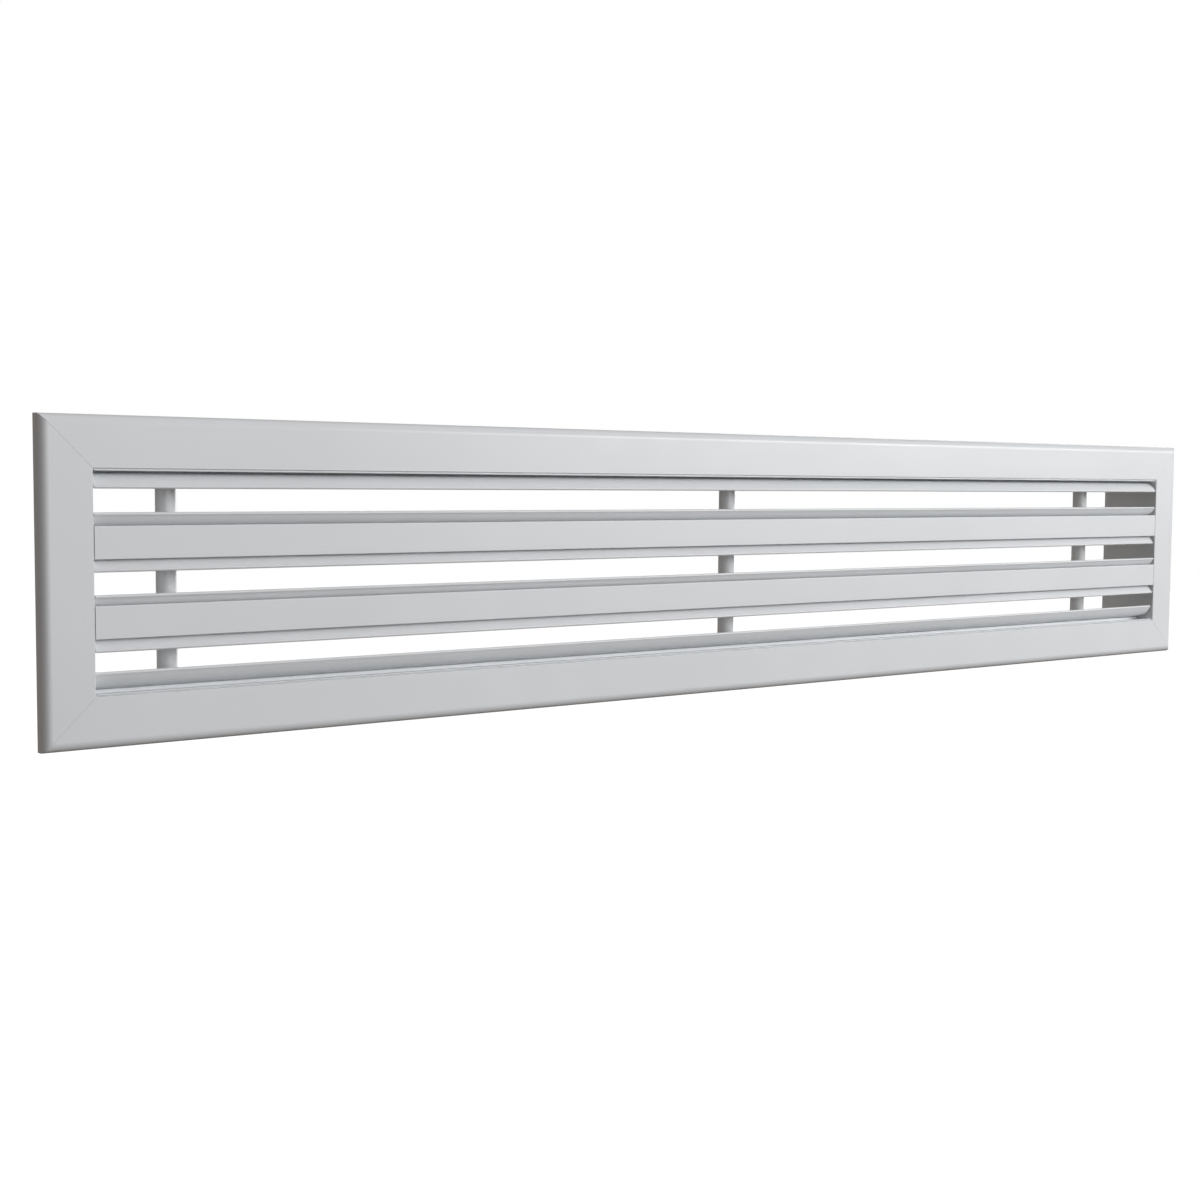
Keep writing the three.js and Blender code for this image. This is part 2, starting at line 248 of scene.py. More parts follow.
def zinc_plate(name):
    """Bright zinc: faint cool and straw patches over fine drawing marks."""
    nodes = Nodes(name)
    patch = nodes.span(nodes.noise(160.0, 4.0, 0.6), 0.0, 1.0)
    colour = nodes.blend(patch, (0.60, 0.62, 0.65), (0.70, 0.69, 0.63))
    dull = nodes.span(nodes.noise(900.0, 4.0, 0.65), 0.0, 1.0, 0.48, 0.72)
    colour = nodes.blend(dull, colour, (0.45, 0.45, 0.44))
    roughness = nodes.span(nodes.noise(500.0, 4.0), 0.24, 0.42)
    normal = nodes.bump(nodes.noise(2200.0, 3.0), 0.00002, 0.4)
    return nodes.finish(colour, roughness, normal, 1.0)


def spring_strip(name):
    """Rolled spring steel: dark, with fine rolling lines along the strip and a blue-brown temper tint."""
    nodes = Nodes(name)
    lines = nodes.noise(1.0, 3.0, 0.7, nodes.stretched(5200.0, 260.0, 260.0))
    tint = nodes.span(nodes.noise(70.0, 3.0), 0.0, 1.0)
    colour = nodes.blend(tint, (0.30, 0.32, 0.36), (0.38, 0.36, 0.33))
    roughness = nodes.span(lines, 0.26, 0.44)
    normal = nodes.bump(lines, 0.00002, 0.5)
    return nodes.finish(colour, roughness, normal, 1.0)


def mill_aluminium(name):
    """Sawn and pressed aluminium, grainy and dull."""
    nodes = Nodes(name)
    grain = nodes.noise(1400.0, 4.0, 0.6)
    cloud = nodes.span(nodes.noise(120.0, 3.0), 0.0, 1.0)
    colour = nodes.blend(cloud, (0.56, 0.57, 0.58), (0.66, 0.66, 0.66))
    normal = nodes.bump(grain, 0.00004, 0.5)
    return nodes.finish(colour, nodes.span(grain, 0.42, 0.60), normal, 1.0)


WHITE = powder_coat("white_powder_coat", (0.866, 0.884, 0.906), (0.838, 0.856, 0.874))
# The tubes' coat is glossier than the frame's. Its colour is a little darker than the frame's white: painted
# shade for the tubes that sit deep in the slots.
TUBE_WHITE_PAINTED_SHADE = powder_coat("tube_powder_coat_painted_shade", (0.85, 0.86, 0.87), (0.82, 0.83, 0.84),
                         peel=1.4, smooth=0.17, rough=0.23)
ZINC = zinc_plate("bright_zinc")
SPRING = spring_strip("spring_steel")
ALUMINIUM = mill_aluminium("mill_aluminium")


# ---- outlines ----
def arc(x, y, radius, start, end, steps):
    """Points on an arc, angles in degrees."""
    turns = (math.radians(start + (end - start) * i / steps) for i in range(steps + 1))
    return [(x + radius * math.cos(turn), y + radius * math.sin(turn)) for turn in turns]


def fillet(points, radius=0.2, steps=4, straight=14.0):
    """A closed outline with each corner rounded; stretches that are round already stay as they are."""
    rounded = []
    count = len(points)
    for i in range(count):
        here = Vector(points[i])
        back = Vector(points[i - 1]) - here
        ahead = Vector(points[(i + 1) % count]) - here
        turn = math.pi - back.angle(ahead)
        if turn < math.radians(straight):
            rounded.append(tuple(here))
            continue
        reach = min(radius * math.tan(turn / 2), 0.45 * back.length, 0.45 * ahead.length)
        start = here + back.normalized() * reach
        end = here + ahead.normalized() * reach
        for k in range(steps + 1):
            t = k / steps
            rounded.append(tuple((1 - t) ** 2 * start + 2 * t * (1 - t) * here + t * t * end))
    return rounded


def anticlockwise(points):
    area = sum(a[0] * b[1] - b[0] * a[1] for a, b in zip(points, points[1:] + points[:1]))
    return points if area > 0 else points[::-1]


def inset(points, distance):
    """An anticlockwise outline moved inwards by a small distance."""
    moved = []
    for i, point in enumerate(points):
        before = (Vector(point) - Vector(points[i - 1])).normalized()
        after = (Vector(points[(i + 1) % len(points)]) - Vector(point)).normalized()
        along = (before + after).normalized()
        moved.append((point[0] - along.y * distance, point[1] + along.x * distance))
    return moved


# ---- mesh building ----
def to_mesh(name, verts, faces):
    """A closed mesh in metres from points in millimetres, smooth except along its sharp edges."""
    mesh = bpy.data.meshes.new(name)
    mesh.from_pydata([tuple(c * MM for c in v) for v in verts], [], faces)
    return settle(mesh)


def settle(mesh, sharp=34.0):
    """Merges double points, turns the faces outwards and marks the sharp edges."""
    work = bmesh.new()
    work.from_mesh(mesh)
    bmesh.ops.remove_doubles(work, verts=work.verts, dist=1e-7)
    bmesh.ops.dissolve_degenerate(work, dist=1e-7, edges=work.edges)
    bmesh.ops.recalc_face_normals(work, faces=work.faces)
    for face in work.faces:
        face.smooth = True
    for edge in work.edges:
        if len(edge.link_faces) == 2:
            edge.smooth = edge.calc_face_angle() < math.radians(sharp)
    work.to_mesh(mesh)
    work.free()
    mesh.update()
    return mesh


def prism(name, outline, low_end, high_end, bevel=0.1):
    """A section of (depth, height) points swept along X, between two end planes.

    low_end and high_end give x for a point of the section.  The ends get a small bevel.
    """
    outline = anticlockwise(outline)
    inner = inset(outline, bevel)
    rings = [
        [(low_end(y, z), y, z) for y, z in inner],
        [(low_end(y, z) + bevel, y, z) for y, z in outline],
        [(high_end(y, z) - bevel, y, z) for y, z in outline],
        [(high_end(y, z), y, z) for y, z in inner],
    ]
    count = len(outline)
    verts = [point for ring in rings for point in ring]
    faces = [tuple(range(count)), tuple(range(4 * count - 1, 3 * count - 1, -1))]
    for ring in range(3):
        for i in range(count):
            j = (i + 1) % count
            a, b = ring * count, (ring + 1) * count
            faces.append((a + i, a + j, b + j, b + i))
    return to_mesh(name, verts, faces)


def lathe(name, profile, sides, closed=False):
    """A profile of (radius, height) points turned about Z; open profiles start and end on the axis."""
    verts = []
    faces = []
    for i in range(sides):
        turn = 2 * math.pi * i / sides
        verts += [(r * math.cos(turn), r * math.sin(turn), z) for r, z in profile]
    count = len(profile)
    for i in range(sides):
        a, b = i * count, (i + 1) % sides * count
        for k in range(count if closed else count - 1):
            n = (k + 1) % count
            faces.append((a + k, b + k, b + n, a + n))
    return to_mesh(name, verts, faces)


def drum(axis, centre, radius, size, sides=32):
    """A plain cylinder used as a cutting tool, in millimetres."""
    work = bmesh.new()
    bmesh.ops.create_cone(
        work, cap_ends=True, segments=sides, radius1=radius * MM, radius2=radius * MM, depth=size * MM
    )
    turn = {"X": Matrix.Rotation(math.pi / 2, 4, "Y"), "Z": Matrix.Identity(4)}[axis]
    bmesh.ops.transform(work, matrix=Matrix.Translation(Vector(centre) * MM) @ turn, verts=work.verts)
    mesh = bpy.data.meshes.new("cutter")
    work.to_mesh(mesh)
    work.free()
    return mesh


def block(low, high):
    """A plain box used as a cutting tool, in millimetres."""
    work = bmesh.new()
    bmesh.ops.create_cube(work, size=1)
    low, high = Vector(low) * MM, Vector(high) * MM
    size = high - low
    bmesh.ops.transform(
        work, matrix=Matrix.Translation((low + high) / 2) @ Matrix.Diagonal((*size, 1)), verts=work.verts
    )
    mesh = bpy.data.meshes.new("cutter")
    work.to_mesh(mesh)
    work.free()
    return mesh


def cut(mesh, cutters):
    """Cuts tools out of a mesh and gives back the new mesh."""
    body = bpy.data.objects.new("work", mesh)
    SCENE.collection.objects.link(body)
    tools = []
    for cutter in cutters:
        tool = bpy.data.objects.new("tool", cutter)
        SCENE.collection.objects.link(tool)
        modifier = body.modifiers.new("cut", "BOOLEAN")
        modifier.operation = "DIFFERENCE"
        modifier.solver = "EXACT"
        modifier.object = tool
        tools.append(tool)
    bpy.context.view_layer.update()
    result = bpy.data.meshes.new_from_object(body.evaluated_get(bpy.context.evaluated_depsgraph_get()))
    for item in (body, *tools):
        data = item.data
        bpy.data.objects.remove(item)
        bpy.data.meshes.remove(data)
    return settle(result)


def place(name, mesh, material, nodes, body="root", matrix=None):
    """Adds a finished piece that rides on a body and stands for CAD nodes."""
    mesh.name = name
    mesh.materials.clear()
    mesh.materials.append(material)
    piece = bpy.data.objects.new(name, mesh)
    SCENE.collection.objects.link(piece)
    if matrix is not None:
        mesh.transform(matrix)
    shading = piece.modifiers.new("even_shading", "WEIGHTED_NORMAL")
    shading.keep_sharp = True
    shading.weight = 60
    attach(piece, body)
    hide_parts(*nodes)
    return piece


def shift(x, y, z):
    return Matrix.Translation(Vector((x, y, z)) * MM)


# ---- the groove that a blade turns in, as (depth, distance from the slot centre) ----
def groove_points():
    half = PIVOT_BEAD + GROOVE_SIDE_GAP
    pocket = PIVOT_OFFSET + PIVOT_BEAD + GROOVE_FLOOR_GAP - WALL_OFFSET
    hook_top = PIVOT_OFFSET - 1.05
    hook_end = PIVOT_OFFSET - 1.5
    rear_end = PIVOT_OFFSET - 0.95
    return [
        (PIVOT_DEPTH - half - GROOVE_RIB, WALL_OFFSET),
        (PIVOT_DEPTH - half - GROOVE_RIB, hook_end),
        (PIVOT_DEPTH - half + GROOVE_HOOK, hook_end),
        (PIVOT_DEPTH - half + GROOVE_HOOK, hook_top),
        (PIVOT_DEPTH - half, hook_top),
        (PIVOT_DEPTH - half, WALL_OFFSET + pocket),
        (PIVOT_DEPTH + half, WALL_OFFSET + pocket),
        (PIVOT_DEPTH + half, rear_end),
        (PIVOT_DEPTH + half + GROOVE_RIB, rear_end),
        (PIVOT_DEPTH + half + GROOVE_RIB, WALL_OFFSET),
    ]


# ---- frame ----
def key_rib(foot, hooks_outwards):
    reach = KEY_SHEET + 2 * GAP + SHEET
    tip = reach + 0.8
    if hooks_outwards:
        stem_end = foot + 1
        return [(SHEET, stem_end), (tip, stem_end), (tip, foot - 0.8), (reach, foot - 0.8), (reach, foot),
                (SHEET, foot)]
    stem_end = foot - 1
    return [(SHEET, foot), (reach, foot), (reach, foot + 0.8), (tip, foot + 0.8), (tip, stem_end),
            (SHEET, stem_end)]


def lip_points():
    """The lip along the inner edge of the flange, set off from it by a fine groove."""
    outer = FLANGE + LIP_GROOVE
    inner = outer + LIP_SHEET
    return [(LIP_GROOVE_DEPTH, FLANGE), (LIP_GROOVE_DEPTH, outer), (LIP_SETBACK, outer),
            (LIP_SETBACK, inner), (LIP_END, inner), (LIP_END, FLANGE)]


def frame_section(with_groove):
    """(depth, distance in from the outer edge) points of the flange-and-neck extrusion."""
    neck_back = FLANGE - SHEET
    face = arc(OUTER_RADIUS, OUTER_RADIUS, OUTER_RADIUS, 270, 180, 18)
    opening = arc(INNER_RADIUS, FLANGE - INNER_RADIUS, INNER_RADIUS, 180, 90, 6)
    rest = []
    if with_groove:
        rest += lip_points()
        rest += [(depth, FLANGE + WALL_OFFSET - offset) for depth, offset in groove_points()]
    rest += [(NECK_DEPTH, FLANGE), (NECK_DEPTH, neck_back)]
    if with_groove:
        low, high = PIVOT_DEPTH - BOSS_HALF, PIVOT_DEPTH + BOSS_HALF
        rest += [(high + BOSS_HEIGHT, neck_back), (high, neck_back - BOSS_HEIGHT)]
        rest += [(low, neck_back - BOSS_HEIGHT), (low - BOSS_HEIGHT, neck_back)]
    rest.append((SHEET, neck_back))
    rest += key_rib(KEY_RIB_INNER, True) + key_rib(KEY_RIB_OUTER, False)
    back = arc(OUTER_RADIUS, OUTER_RADIUS, OUTER_RADIUS - SHEET, 180, 270, 12)
    return fillet([(LIP_DEPTH, 0)] + face + opening + rest + back + [(LIP_DEPTH, SHEET)])


def frame_member(name, size, with_groove):
    """One member along X with its outer edge on z = 0, mitred at both ends."""
    outline = [(FRONT + depth, -inward) for depth, inward in frame_section(with_groove)]
    reach = size / 2 - MITRE_GAP
    return prism(name, outline, lambda y, z: -reach - z, lambda y, z: reach + z, 0.04)


def make_frame():
    column_x = [node_centre(f"spacer_tube_{column}_middle").x for column in COLUMNS]
    column_y = node_centre("spacer_tube_middle_middle").y
    rivets = [node_centre(f"clip_rivet_top_{end}") for end in ENDS]
    neck_z = -FLANGE + SHEET / 2
    for edge, side in EDGES.items():
        tools = [drum("Z", (side * x, column_y, neck_z), ROD_HOLE, NECK_DRILL) for x in column_x]
        tools += [drum("Z", (rivet.x, rivet.y, neck_z), SCREW_HOLE, NECK_DRILL) for rivet in rivets]
        mesh = cut(frame_member("member", 2 * HALF_LENGTH, True), tools)
        turn = Matrix.Rotation(0 if side > 0 else math.pi, 4, "Y")
        place(f"flange_{edge}", mesh, WHITE, [f"frame_{edge}"],
              matrix=shift(0, 0, side * HALF_HEIGHT) @ turn)
    for end, side in ENDS.items():
        tools = [drum("Z", (x, FRONT + SCREW_DEPTH, neck_z), SCREW_HOLE, NECK_DRILL)
                 for x in (-SLOT_PITCH / 2, SLOT_PITCH / 2)]
        mesh = cut(frame_member("member", 2 * HALF_HEIGHT, False), tools)
        turn = Matrix.Rotation(side * math.pi / 2, 4, "Y")
        place(f"flange_{end}", mesh, WHITE, [f"frame_{end}"],
              matrix=shift(side * HALF_LENGTH, 0, 0) @ turn)


# ---- slot bars ----
def make_bars():
    for level, side in {"upper": 1, "lower": -1}.items():
        node = f"slot_bar_{level}"
        low, high = (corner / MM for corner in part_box(node))
        face_low, face_high = sorted((side * low.z, side * high.z))
        depth = high.y - low.y
        far = SLOT_PITCH - WALL_OFFSET
        points = [(0, face_low), (BAR_FACE_SHEET, face_low), (BAR_FACE_SHEET, WALL_OFFSET)]
        points += groove_points() + [(depth, WALL_OFFSET), (depth, far)]
        points += [(d, SLOT_PITCH - offset) for d, offset in reversed(groove_points())]
        points += [(BAR_FACE_SHEET, far), (BAR_FACE_SHEET, face_high), (0, face_high)]
        outline = [(FRONT + d, side * z) for d, z in fillet(points, BAR_CORNER)]
        mesh = prism(node, outline, lambda y, z: low.x, lambda y, z: high.x)
        web_z = side * SLOT_PITCH / 2
        hollow = SLOT_PITCH / 2 - WALL_OFFSET - BAR_SHEET
        reach = high.x + 2
        chambers = ((BAR_FACE_SHEET, SCREW_DEPTH - SCREW_WALL), (PIVOT_DEPTH + SCREW_WALL, depth - BAR_SHEET))
        tools = [block((-reach, FRONT + a, web_z - hollow), (reach, FRONT + b, web_z + hollow))
                 for a, b in chambers]
        tools.append(drum("X", (0, FRONT + SCREW_DEPTH, web_z), SCREW_HOLE, 2 * reach))
        for column in COLUMNS:
            centre = node_centre(f"spacer_tube_{column}_middle")
            tools.append(drum("Z", (centre.x, centre.y, web_z), ROD_HOLE, BAR_DRILL))
        place(f"face_bar_{level}", cut(mesh, tools), WHITE, [node])


# ---- deflector blades ----
def blade_section(side):
    """(depth, height) points from the axis the blade turns on, as drawn before it is set."""
    centre = PLATE_OFFSET - BLADE_RADIUS
    sweep_end = 90 + BLADE_SWEEP
    lead = 8
    tip = arc(CURVE_DEPTH, centre, BLADE_RADIUS - BLADE_SHEET / 2, sweep_end, sweep_end, 1)[0]
    tip_start = math.degrees(math.asin(BLADE_SHEET / 2 / TIP_BEAD))
    edge_start = math.degrees(math.asin(STEM / 2 / PIVOT_BEAD))
    towards = sweep_end + 90
    points = arc(CURVE_DEPTH, centre, BLADE_RADIUS, sweep_end - lead, 90, 24)
    points.append((PIVOT_DEPTH - STEM / 2, PLATE_OFFSET))
    points += arc(PIVOT_DEPTH, PIVOT_OFFSET, PIVOT_BEAD, 270 - edge_start, edge_start - 90, 24)
    points.append((PIVOT_DEPTH + STEM / 2, PLATE_OFFSET - BLADE_SHEET))
    points += arc(CURVE_DEPTH, centre, BLADE_RADIUS - BLADE_SHEET, 90, sweep_end - lead, 24)
    points += arc(*tip, TIP_BEAD, towards + 180 - tip_start, towards - 180 + tip_start, 20)
    points = fillet(points, 0.25, straight=24.0)
    return [(depth - PIVOT_DEPTH, side * (offset - PIVOT_OFFSET)) for depth, offset in points]


def make_blades():
    joints = {joint["child"]: joint for joint in frame["joints"]}
    for slot in SLOTS:
        for edge, side in EDGES.items():
            node = f"blade_{slot}_slot_{edge}"
            joint = joints[node]
            closed = math.radians(OPEN_LIMIT - joint["range_deg"][0])
            half = node_size(node).x / 2
            mesh = prism(node, blade_section(side), lambda y, z: -half, lambda y, z: half, 0.15)
            pivot = Matrix.Translation(Vector(joint["pos_m"]))
            place(f"deflector_{slot}_{edge}", mesh, WHITE, [node], node,
                  pivot @ Matrix.Rotation(side * closed, 4, "X"))


# ---- columns: tubes, rods, washers and nuts ----
def tube_mesh(name, inner, outer, size, chamfer):
    half = size / 2
    profile = [
        (inner + chamfer, -half), (outer - chamfer, -half), (outer - chamfer / 3, -half + chamfer / 3),
        (outer, -half + chamfer), (outer, half - chamfer), (outer - chamfer / 3, half - chamfer / 3),
        (outer - chamfer, half), (inner + chamfer, half), (inner, half - chamfer), (inner, -half + chamfer),
    ]
    return lathe(name, profile, 48, closed=True)


def threaded_rod(name, size, thread_from):
    """A plain rod whose two ends carry a rolled thread."""
    pitch = 0.7
    depth = 0.36
    sides = 24
    steps_per_turn = 10
    half = size / 2
    tip = 0.5

    def radius(turn, z):
        edge = half - abs(z)
        if abs(z) < thread_from:
            return ROD_RADIUS - 0.18
        phase = (z / pitch - turn / (2 * math.pi)) % 1.0
        fade = min(1.0, (abs(z) - thread_from) / pitch)
        wave = depth * min(1.0, max(0.0, abs(2 * phase - 1) * 1.5 - 0.25)) * fade
        return min(ROD_RADIUS - wave, ROD_RADIUS - depth - 0.1 + edge * depth / tip + edge)

    threads = int((half - thread_from) / pitch * steps_per_turn)
    outer = [thread_from + (half - thread_from) * i / threads for i in range(threads + 1)]
    heights = [-z for z in reversed(outer)] + outer
    verts = []
    faces = []
    for z in heights:
        for i in range(sides):
            turn = 2 * math.pi * i / sides
            r = radius(turn, z)
            verts.append((r * math.cos(turn), r * math.sin(turn), z))
    for level in range(len(heights) - 1):
        for i in range(sides):
            j = (i + 1) % sides
            a, b = level * sides, (level + 1) * sides
            faces.append((a + i, a + j, b + j, b + i))
    faces.append(tuple(range(sides - 1, -1, -1)))
    last = (len(heights) - 1) * sides
    faces.append(tuple(range(last, last + sides)))
    return to_mesh(name, verts, faces)


def hex_nut(name, across_flats, bore, size):
    """A hexagon nut, chamfered on both faces, with a countersunk bore."""
    sides = 96
    half = size / 2
    apothem = across_flats / 2
    land = 0.94 * apothem
    slope = math.tan(math.radians(30))
    verts = []
    for i in range(sides):
        turn = 2 * math.pi * i / sides
        corner = (turn + math.pi / 6) % (math.pi / 3) - math.pi / 6
        flat = min(apothem / math.cos(corner), 1.12 * apothem)
        drop = (flat - land) * slope
        for r, z in ((bore, -half + 0.3), (bore + 0.3, -half), (land, -half), (flat, -half + drop),
                     (flat, half - drop), (land, half), (bore + 0.3, half), (bore, half - 0.3)):
            verts.append((r * math.cos(turn), r * math.sin(turn), z))
    faces = []
    for i in range(sides):
        a, b = 8 * i, 8 * ((i + 1) % sides)
        for k in range(8):
            n = (k + 1) % 8
            faces.append((a + k, b + k, b + n, a + n))
    return to_mesh(name, verts, faces)


def make_columns():
    for column in COLUMNS:
        rod_node = f"tie_rod_{column}"
        rod = node_size(rod_node)
        centre = node_centre(rod_node)
        mesh = threaded_rod(rod_node, rod.z, NECK_OUTSIDE - 3)
        place(f"tie_rod_{column}_threaded", mesh, ZINC, [rod_node], matrix=shift(*centre))
        for slot in SLOTS:
            node = f"spacer_tube_{column}_{slot}"
            size = node_size(node)
            mesh = tube_mesh(node, ROD_RADIUS + 0.6, size.x / 2, size.z, 0.3)
            place(f"round_tube_{column}_{slot}", mesh, TUBE_WHITE_PAINTED_SHADE, [node],
                  matrix=shift(*node_centre(node)))
        for edge, side in EDGES.items():
            washer = f"rod_washer_{column}_{edge}"
            size = node_size(washer)
            mesh = tube_mesh(washer, ROD_RADIUS + 0.3, size.x / 2, size.z, 0.14)
            place(f"plain_washer_{column}_{edge}", mesh, ZINC, [washer],
                  matrix=shift(*node_centre(washer)))
            nut = f"rod_nut_{column}_{edge}"
            size = node_size(nut)
            mesh = hex_nut(nut, size.y, ROD_RADIUS + 0.2, size.z)
            turn = Matrix.Rotation(math.radians(17 * (1 + COLUMNS.index(column)) * side), 4, "Z")
            place(f"hex_nut_{column}_{edge}", mesh, ZINC, [nut],
                  matrix=shift(*node_centre(nut)) @ turn)


# ---- bar screws ----
def pan_screw(name, shank, head):
    """A pan-head screw along +Z with a cross recess."""
    slot_half = 0.35
    core = SCREW_RADIUS - SCREW_CORE
    rim = SCREW_HEAD_RADIUS
    rim_height = 0.75
    dome = arc(0, 0, 1, 20, 90, 10)
    profile = [(0, -shank), (0.7, -shank + 0.1), (core, -shank + 1.6)]
    turns = 14
    for i in range(turns):
        z = -shank + 1.9 + i * (shank - 3.4) / turns
        profile += [(core, z), (SCREW_RADIUS, z + 0.35), (SCREW_RADIUS - 0.05, z + 0.45)]
    profile += [(SCREW_RADIUS - 0.15, -1.2), (SCREW_RADIUS - 0.1, 0)]
    profile += [(rim - 0.2, 0), (rim, 0.2), (rim, rim_height)]
    base_x, base_y = dome[0]
    for x, y in dome[1:-1]:
        profile.append((rim * x / base_x, rim_height + (head - rim_height) * (y - base_y) / (1 - base_y)))
    profile.append((0, head))
    arm = 1.5
    tools = [block((-arm, -slot_half, head - 1.0), (arm, slot_half, head + 1)),
             block((-slot_half, -arm, head - 1.0), (slot_half, arm, head + 1))]
    return cut(lathe(name, profile, 40), tools)


def make_bar_screws():
    for end, along in ENDS.items():
        for level, twist in {"upper": 12, "lower": 51}.items():
            node = f"bar_screw_{level}_{end}"
            low, high = (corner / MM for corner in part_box(node))
            seat = high.x - SCREW_HEAD if along > 0 else low.x + SCREW_HEAD
            mesh = pan_screw(node, high.x - low.x - SCREW_HEAD, SCREW_HEAD)
            sideways = Matrix.Rotation(along * math.pi / 2, 4, "Y")
            turn = sideways @ Matrix.Rotation(math.radians(twist), 4, "Z")
            centre = node_centre(node)
            place(f"pan_screw_{level}_{end}", mesh, ZINC, [node],
                  matrix=shift(seat, centre.y, centre.z) @ turn)


# ---- corner keys ----
def make_corner_keys():
    for edge, up in EDGES.items():
        for end, along in ENDS.items():
            node = f"corner_key_{edge}_{end}"
            low, high = (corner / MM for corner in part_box(node))
            arm = KEY_RIB_INNER - KEY_RIB_OUTER - 2 * GAP
            span = high.x - low.x
            shape = [(0, 0), (0, -span), (-arm, -span), (-arm, -arm), (-span, -arm), (-span, 0)]
            outline = fillet([(x, z) for x, z in shape], 1.0, 5)
            thick = high.y - low.y
            mesh = prism(node, outline, lambda y, z: 0.0, lambda y, z: thick, 0.2)
            stakes = [(-arm / 2, -0.62 * span), (-0.62 * span, -arm / 2)]
            tools = [drum("X", (thick, a, b), STAKE_RADIUS, STAKE_DEPTH) for a, b in stakes]
            mesh = cut(mesh, tools)
            axes = Matrix(((0, 1, 0, 0), (1, 0, 0, 0), (0, 0, 1, 0), (0, 0, 0, 1)))
            mesh.transform(axes)
            flip = Matrix.Diagonal((along, 1, up, 1))
            corner = (high.x if along > 0 else low.x, low.y, high.z if up > 0 else low.z)
            mesh.transform(shift(*corner) @ flip)
            place(f"mitre_key_{edge}_{end}", settle(mesh), ALUMINIUM, [node])


# ---- spring clips and their rivets ----
def clip_path(steps=10):
    """(depth, height above the neck) along the middle of the strip: foot, fold, then the sprung leg."""
    fold = arc(7.2, 1.35, 0.75, -90, 65, steps)
    leg = [(-6.9 + 2.0 * math.cos(math.radians(a)), 7.0 + 2.0 * math.sin(math.radians(a)))
           for a in range(66, 160, 12)]
    return [(-7.0, 0.7), (-3, 0.7), (3, 0.7)] + fold + leg


def make_clips():
    thick = CLIP_SHEET
    for edge, up in EDGES.items():
        for end in ENDS:
            node = f"spring_clip_{edge}_{end}"
            low, high = (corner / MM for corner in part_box(node))
            rivet_node = f"clip_rivet_{edge}_{end}"
            rivet = node_centre(rivet_node)
            half = (high.x - low.x) / 2
            path = clip_path()
            verts = []
            across = 12
            total = len(path)
            lengths = [0.0]
            for a, b in zip(path, path[1:]):
                lengths.append(lengths[-1] + (Vector(b) - Vector(a)).length)
            for i, (depth, out) in enumerate(path):
                before = Vector(path[max(i - 1, 0)])
                after = Vector(path[min(i + 1, total - 1)])
                along = (after - before).normalized()
                near = min(lengths[i], lengths[-1] - lengths[i])
                narrow = CLIP_CORNER * max(0.0, 1 - near / CLIP_CORNER) ** 2
                for side in (-1, 1):
                    y = depth - along.y * side * thick / 2
                    z = out + along.x * side * thick / 2
                    for k in range(across + 1):
                        x = (half - narrow) * (2 * k / across - 1)
                        verts.append((x, y, z))
            row = across + 1
            faces = []
            for i in range(total - 1):
                for side in (0, 1):
                    a = (2 * i + side) * row
                    b = (2 * (i + 1) + side) * row
                    for k in range(across):
                        faces.append((a + k, a + k + 1, b + k + 1, b + k))
                a, b = 2 * i * row, 2 * (i + 1) * row
                faces.append((a, b, b + row, a + row))
                faces.append((a + across, a + row + across, b + row + across, b + across))
            for i in (0, total - 1):
                a = 2 * i * row
                for k in range(across):
                    faces.append((a + k, a + row + k, a + row + k + 1, a + k + 1))
            mesh = to_mesh(node, verts, faces)
            mesh = cut(mesh, [drum("Z", (0, 0, GAP + thick / 2), SCREW_HOLE, 1.8)])
            flip = Matrix.Diagonal((1, 1, up, 1))
            mesh.transform(shift(rivet.x, rivet.y, up * NECK_OUTSIDE) @ flip)
            place(f"leaf_clip_{edge}_{end}", settle(mesh), SPRING, [node])

            size = node_size(rivet_node)
            head_z = GAP + thick + GAP
            tail_z = -SHEET - GAP
            tail_end = tail_z - RIVET_TAIL
            dome = [(2.9 * math.cos(math.radians(a)), head_z + 0.2 + RIVET_DOME * math.sin(math.radians(a)))
                    for a in range(0, 90, 10)]
            profile = [(0, tail_end), (1.9, tail_end), (2.4, tail_z - 0.6), (2.6, tail_z - 0.2)]
            profile += [(2.5, tail_z), (RIVET_RADIUS, tail_z), (RIVET_RADIUS, head_z), (2.85, head_z)]
            profile += dome
            profile.append((0, tail_end + size.z))
            turn = Matrix.Rotation(0 if up > 0 else math.pi, 4, "X")
            place(f"dome_rivet_{edge}_{end}", lathe(rivet_node, profile, 36), ZINC, [rivet_node],
                  matrix=shift(rivet.x, rivet.y, up * NECK_OUTSIDE) @ turn)


# ---- stage ----
CAMERA_PLACE = (-676.0, -743.1, 46.1)      # millimetres
CAMERA_YAW = 37.47                         # degrees to the right of +Y
CAMERA_PITCH = 3.95                        # degrees down
CAMERA_ROLL = 0.40                         # degrees
CAMERA_LENS = 50.89
CAMERA_SENSOR = 36

# a direction, and the cosines of the angles from it where its light starts and is full
ABOVE = ((0.25, -0.15, 0.95), -0.2, 1.0)
BEHIND = ((-0.2, 0.93, 0.3), 0.2, 0.9)
LIGHT_BELOW = (0.046, 0.033, 0.023)
LIGHT_ABOVE = (0.41, 0.41, 0.42)
LIGHT_BEHIND = (0.30, 0.275, 0.25)
FLOOR_DROP = 620.0                         # floor below the middle of the grille, millimetres
STAGE_WHITE = (1.0, 1.0, 1.0)


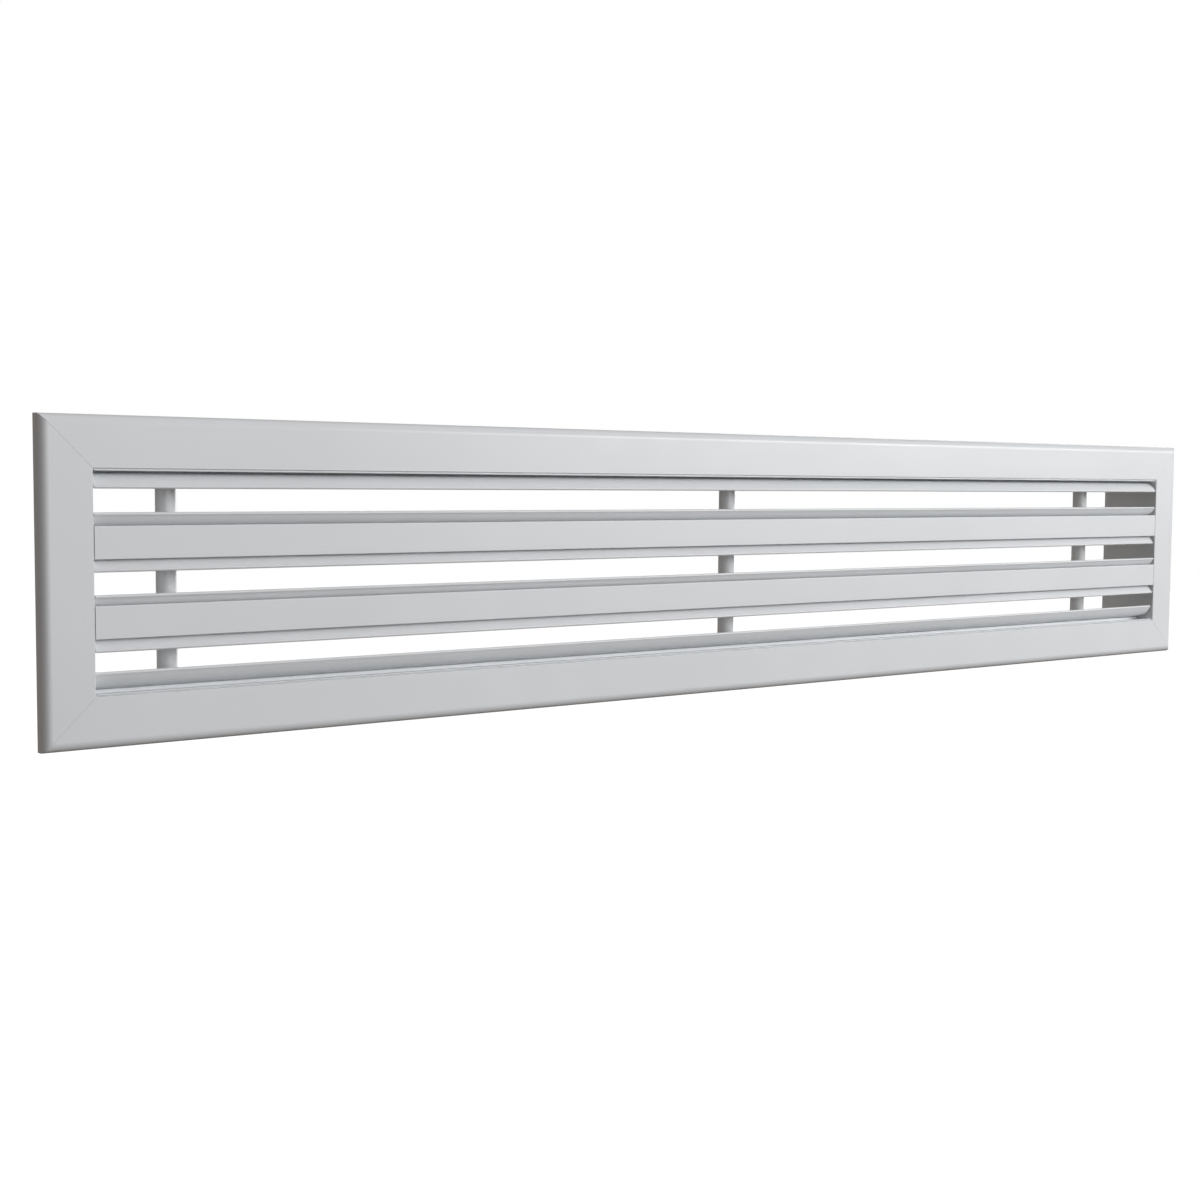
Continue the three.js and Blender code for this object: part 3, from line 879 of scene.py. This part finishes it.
def make_camera():
    data = bpy.data.cameras.new("camera")
    data.lens = CAMERA_LENS
    data.sensor_width = CAMERA_SENSOR
    data.clip_start = 0.01
    camera = bpy.data.objects.new("camera", data)
    camera.location = Vector(CAMERA_PLACE) * MM
    heading = Matrix.Rotation(math.radians(-CAMERA_YAW), 4, "Z")
    tilt = Matrix.Rotation(math.radians(90 - CAMERA_PITCH), 4, "X")
    roll = Matrix.Rotation(math.radians(CAMERA_ROLL), 4, "Z")
    camera.rotation_euler = (heading @ tilt @ roll).to_euler()
    SCENE.collection.objects.link(camera)
    SCENE.camera = camera


def area_light(name, place_mm, aim_mm, size, power, colour):
    data = bpy.data.lights.new(name, "AREA")
    data.shape = "RECTANGLE"
    data.size, data.size_y = size
    data.energy = power
    data.color = colour
    light = bpy.data.objects.new(name, data)
    light.location = Vector(place_mm) * MM
    direction = (Vector(aim_mm) - Vector(place_mm)).normalized()
    light.rotation_euler = direction.to_track_quat("-Z", "Y").to_euler()
    light.visible_camera = False
    SCENE.collection.objects.link(light)


def make_world():
    """White to the camera; as light, warm and dim from below, cooler from above, bright from behind."""
    world = bpy.data.worlds.new("studio")
    SCENE.world = world
    world.use_nodes = True
    tree = world.node_tree
    tree.nodes.clear()
    output = tree.nodes.new("ShaderNodeOutputWorld")
    mix = tree.nodes.new("ShaderNodeMixShader")
    seen = tree.nodes.new("ShaderNodeBackground")
    seen.inputs["Color"].default_value = (*STAGE_WHITE, 1)
    light = tree.nodes.new("ShaderNodeBackground")
    ray = tree.nodes.new("ShaderNodeLightPath")
    coordinate = tree.nodes.new("ShaderNodeTexCoord")

    def spread(direction, start, end):
        """0 to 1 as a ray turns towards a direction; start and end are cosines."""
        towards = tree.nodes.new("ShaderNodeVectorMath")
        towards.operation = "DOT_PRODUCT"
        towards.inputs[1].default_value = Vector(direction).normalized()
        ramp = tree.nodes.new("ShaderNodeMapRange")
        ramp.interpolation_type = "SMOOTHSTEP"
        ramp.inputs["From Min"].default_value = start
        ramp.inputs["From Max"].default_value = end
        tree.links.new(coordinate.outputs["Generated"], towards.inputs[0])
        tree.links.new(towards.outputs["Value"], ramp.inputs["Value"])
        return ramp.outputs["Result"]

    def blend(factor, first, second):
        node = tree.nodes.new("ShaderNodeMix")
        node.data_type = "RGBA"
        node.inputs[7].default_value = (*second, 1)
        tree.links.new(factor, node.inputs["Factor"])
        if isinstance(first, tuple):
            node.inputs[6].default_value = (*first, 1)
        else:
            tree.links.new(first, node.inputs[6])
        return node.outputs[2]

    room = blend(spread(*ABOVE), LIGHT_BELOW, LIGHT_ABOVE)
    tree.links.new(blend(spread(*BEHIND), room, LIGHT_BEHIND), light.inputs["Color"])
    tree.links.new(ray.outputs["Is Camera Ray"], mix.inputs[0])
    tree.links.new(light.outputs[0], mix.inputs[1])
    tree.links.new(seen.outputs[0], mix.inputs[2])
    tree.links.new(mix.outputs[0], output.inputs["Surface"])


def make_floor():
    """A plain pale floor, well below the grille, that throws no light back up."""
    mesh = bpy.data.meshes.new("floor")
    reach = 9000.0
    corners = [(-reach, -reach), (reach, -reach), (reach, reach), (-reach, reach)]
    mesh.from_pydata([(x * MM, y * MM, -FLOOR_DROP * MM) for x, y in corners], [], [(0, 1, 2, 3)])
    nodes = Nodes("pale_floor")
    nodes.shader.inputs["Base Color"].default_value = (0.9, 0.9, 0.9, 1)
    nodes.shader.inputs["Roughness"].default_value = 0.9
    nodes.shader.inputs["Emission Color"].default_value = (*STAGE_WHITE, 1)
    nodes.shader.inputs["Emission Strength"].default_value = 0.75
    mesh.materials.append(nodes.material)
    floor = bpy.data.objects.new("floor", mesh)
    SCENE.collection.objects.link(floor)
    floor.visible_diffuse = False
    floor.visible_glossy = False


def make_lights():
    aim = (0, 0, 0)
    area_light("key", (2100, -2100, 640), aim, (1.7, 0.9), 53, (0.985, 0.995, 1.0))
    area_light("fill", (0, -3200, 330), aim, (2.4, 0.8), 18.5, (0.985, 0.993, 1.0))
    area_light("rim", (2500, 1500, 350), aim, (1.6, 1.6), 24, (1.0, 1.0, 1.0))


make_camera()
make_world()
make_floor()
make_lights()
make_frame()
make_bars()
make_blades()
make_columns()
make_bar_screws()
make_corner_keys()
make_clips()

SCENE.view_settings.view_transform = "Standard"
